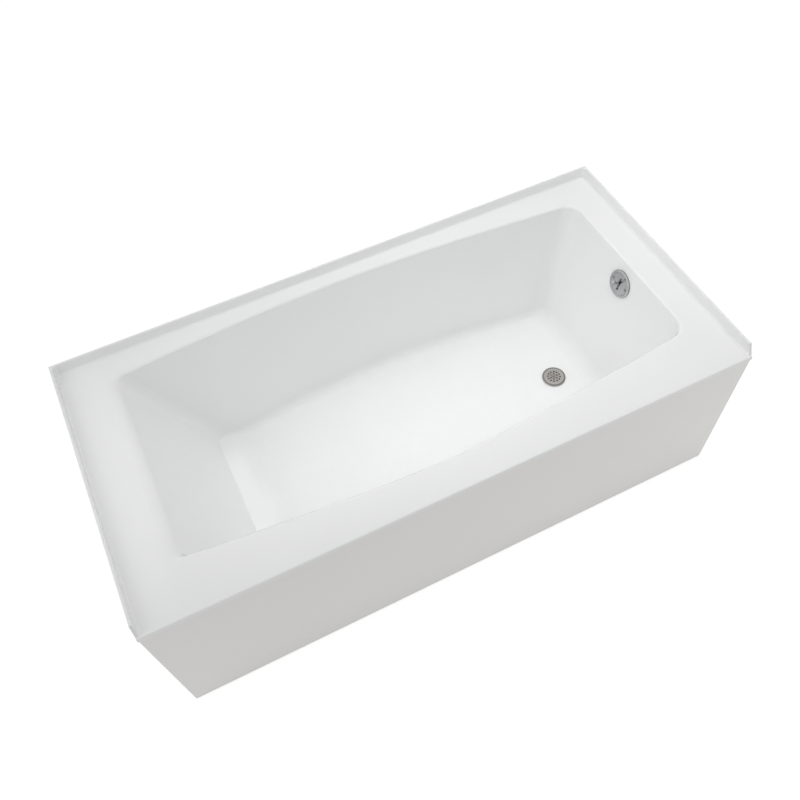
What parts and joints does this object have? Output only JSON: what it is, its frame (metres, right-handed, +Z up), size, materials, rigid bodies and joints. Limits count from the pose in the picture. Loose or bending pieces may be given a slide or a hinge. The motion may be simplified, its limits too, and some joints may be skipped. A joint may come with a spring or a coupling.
{
  "type": "alcove bathtub",
  "caption": "Alcove bathtub: bowed white basin with deck, tile flange on three sides, flat front apron, levelling feet, and a trip-lever waste and overflow.",
  "frame": {"origin": "on the ground, under the middle of the tub", "axes": "+X from the head end to the drain end, +Y from the apron to the back wall, +Z up"},
  "size_m": [1.6764, 0.8128, 0.547],
  "materials": {
    "acrylic": "glossy moulded acrylic, white",
    "laminate": "rough sprayed glass fibre and resin",
    "timber": "sawn board, sealed",
    "zinc_steel": "zinc-plated steel",
    "foot_rubber": "moulded black",
    "satin_metal": "satin nickel-chrome",
    "chrome_plate": "polished chrome plate",
    "brass": "plain brass",
    "black_pipe": "extruded and moulded black pipe, semi-gloss",
    "seal_rubber": "soft rubber"
  },
  "bodies": {
    "tub": {"apron": "acrylic", "apron_brackets": "zinc_steel", "apron_screws": "zinc_steel", "apron_stiffeners": "timber", "arm_slip_nut": "black_pipe", "arm_washer": "seal_rubber", "base_board": "timber", "bracket_bolts": "zinc_steel", "bracket_screws": "zinc_steel", "centre_foot_plate": "zinc_steel", "drain_gasket": "seal_rubber", "drain_rail": "zinc_steel", "drain_spud": "brass", "face_plate": "chrome_plate", "foot_nuts": "zinc_steel", "head_rail": "zinc_steel", "laminate_backing": "laminate", "lever_bracket": "zinc_steel", "lever_pin": "zinc_steel", "middle_tube": "black_pipe", "outlet_adapter": "black_pipe", "outlet_nut": "black_pipe", "outlet_washer": "seal_rubber", "overflow_elbow": "black_pipe", "overflow_gasket": "seal_rubber", "overflow_tube": "black_pipe", "plate_screws": "chrome_plate", "rail_screws": "zinc_steel", "rim_strip": "timber", "shoe_arm": "black_pipe", "strainer_plate": "satin_metal", "strainer_screw": "satin_metal", "tee_slip_nut": "black_pipe", "tee_washer": "seal_rubber", "tub_shell": "acrylic", "upper_slip_nut": "black_pipe", "upper_washer": "seal_rubber", "waste_shoe": "black_pipe", "waste_tee": "black_pipe"},
    "lever": {"trip_lever": "chrome_plate", "linkage_pin": "zinc_steel"},
    "linkage": {"linkage_yoke": "brass", "linkage_rod": "brass", "linkage_nuts": "brass", "plunger": "brass"},
    "foot_1_pad": {"foot_pad_1": "foot_rubber"},
    "foot_1_rod": {"foot_rod_1": "zinc_steel"},
    "foot_2_pad": {"foot_pad_2": "foot_rubber"},
    "foot_2_rod": {"foot_rod_2": "zinc_steel"},
    "foot_3_pad": {"foot_pad_3": "foot_rubber"},
    "foot_3_rod": {"foot_rod_3": "zinc_steel"},
    "foot_4_pad": {"foot_pad_4": "foot_rubber"},
    "foot_4_rod": {"foot_rod_4": "zinc_steel"},
    "foot_5_pad": {"foot_pad_5": "foot_rubber"},
    "foot_5_rod": {"foot_rod_5": "zinc_steel"}
  },
  "joints": [
    {"name": "lever_turn", "type": "hinge", "parent": "tub", "child": "lever", "pos_m": [0.732, 0.02, 0.43743], "axis": [0, -1, 0], "range_deg": [0, 50]},
    {"name": "linkage_slide", "type": "slide", "parent": "tub", "child": "linkage", "axis": [0, 0, 1], "range_m": [0, 0.0255]},
    {"name": "foot_1_height", "type": "slide", "parent": "tub", "child": "foot_1_pad", "axis": [0, 0, -1], "range_m": [-0.004, 0.015]},
    {"name": "foot_1_turn", "type": "hinge", "parent": "foot_1_pad", "child": "foot_1_rod", "pos_m": [-0.3052, -0.2, 0.03], "axis": [0, 0, 1], "range_deg": [-825, 3090]},
    {"name": "foot_2_height", "type": "slide", "parent": "tub", "child": "foot_2_pad", "axis": [0, 0, -1], "range_m": [-0.004, 0.015]},
    {"name": "foot_2_turn", "type": "hinge", "parent": "foot_2_pad", "child": "foot_2_rod", "pos_m": [-0.3052, 0.24, 0.03], "axis": [0, 0, 1], "range_deg": [-825, 3090]},
    {"name": "foot_3_height", "type": "slide", "parent": "tub", "child": "foot_3_pad", "axis": [0, 0, -1], "range_m": [-0.004, 0.015]},
    {"name": "foot_3_turn", "type": "hinge", "parent": "foot_3_pad", "child": "foot_3_rod", "pos_m": [0.3748, -0.2, 0.03], "axis": [0, 0, 1], "range_deg": [-825, 3090]},
    {"name": "foot_4_height", "type": "slide", "parent": "tub", "child": "foot_4_pad", "axis": [0, 0, -1], "range_m": [-0.004, 0.015]},
    {"name": "foot_4_turn", "type": "hinge", "parent": "foot_4_pad", "child": "foot_4_rod", "pos_m": [0.3748, 0.24, 0.03], "axis": [0, 0, 1], "range_deg": [-825, 3090]},
    {"name": "foot_5_height", "type": "slide", "parent": "tub", "child": "foot_5_pad", "axis": [0, 0, -1], "range_m": [-0.004, 0.015]},
    {"name": "foot_5_turn", "type": "hinge", "parent": "foot_5_pad", "child": "foot_5_rod", "pos_m": [0.0348, 0.02, 0.03], "axis": [0, 0, 1], "range_deg": [-825, 3090]}
  ],
  "couplings": [
    {"joint": "linkage_slide", "follows": "lever_turn", "m_per_rad": 0.029057},
    {"joint": "foot_1_turn", "follows": "foot_1_height", "rad_per_m": 3590.4},
    {"joint": "foot_2_turn", "follows": "foot_2_height", "rad_per_m": 3590.4},
    {"joint": "foot_3_turn", "follows": "foot_3_height", "rad_per_m": 3590.4},
    {"joint": "foot_4_turn", "follows": "foot_4_height", "rad_per_m": 3590.4},
    {"joint": "foot_5_turn", "follows": "foot_5_height", "rad_per_m": 3590.4}
  ]
}
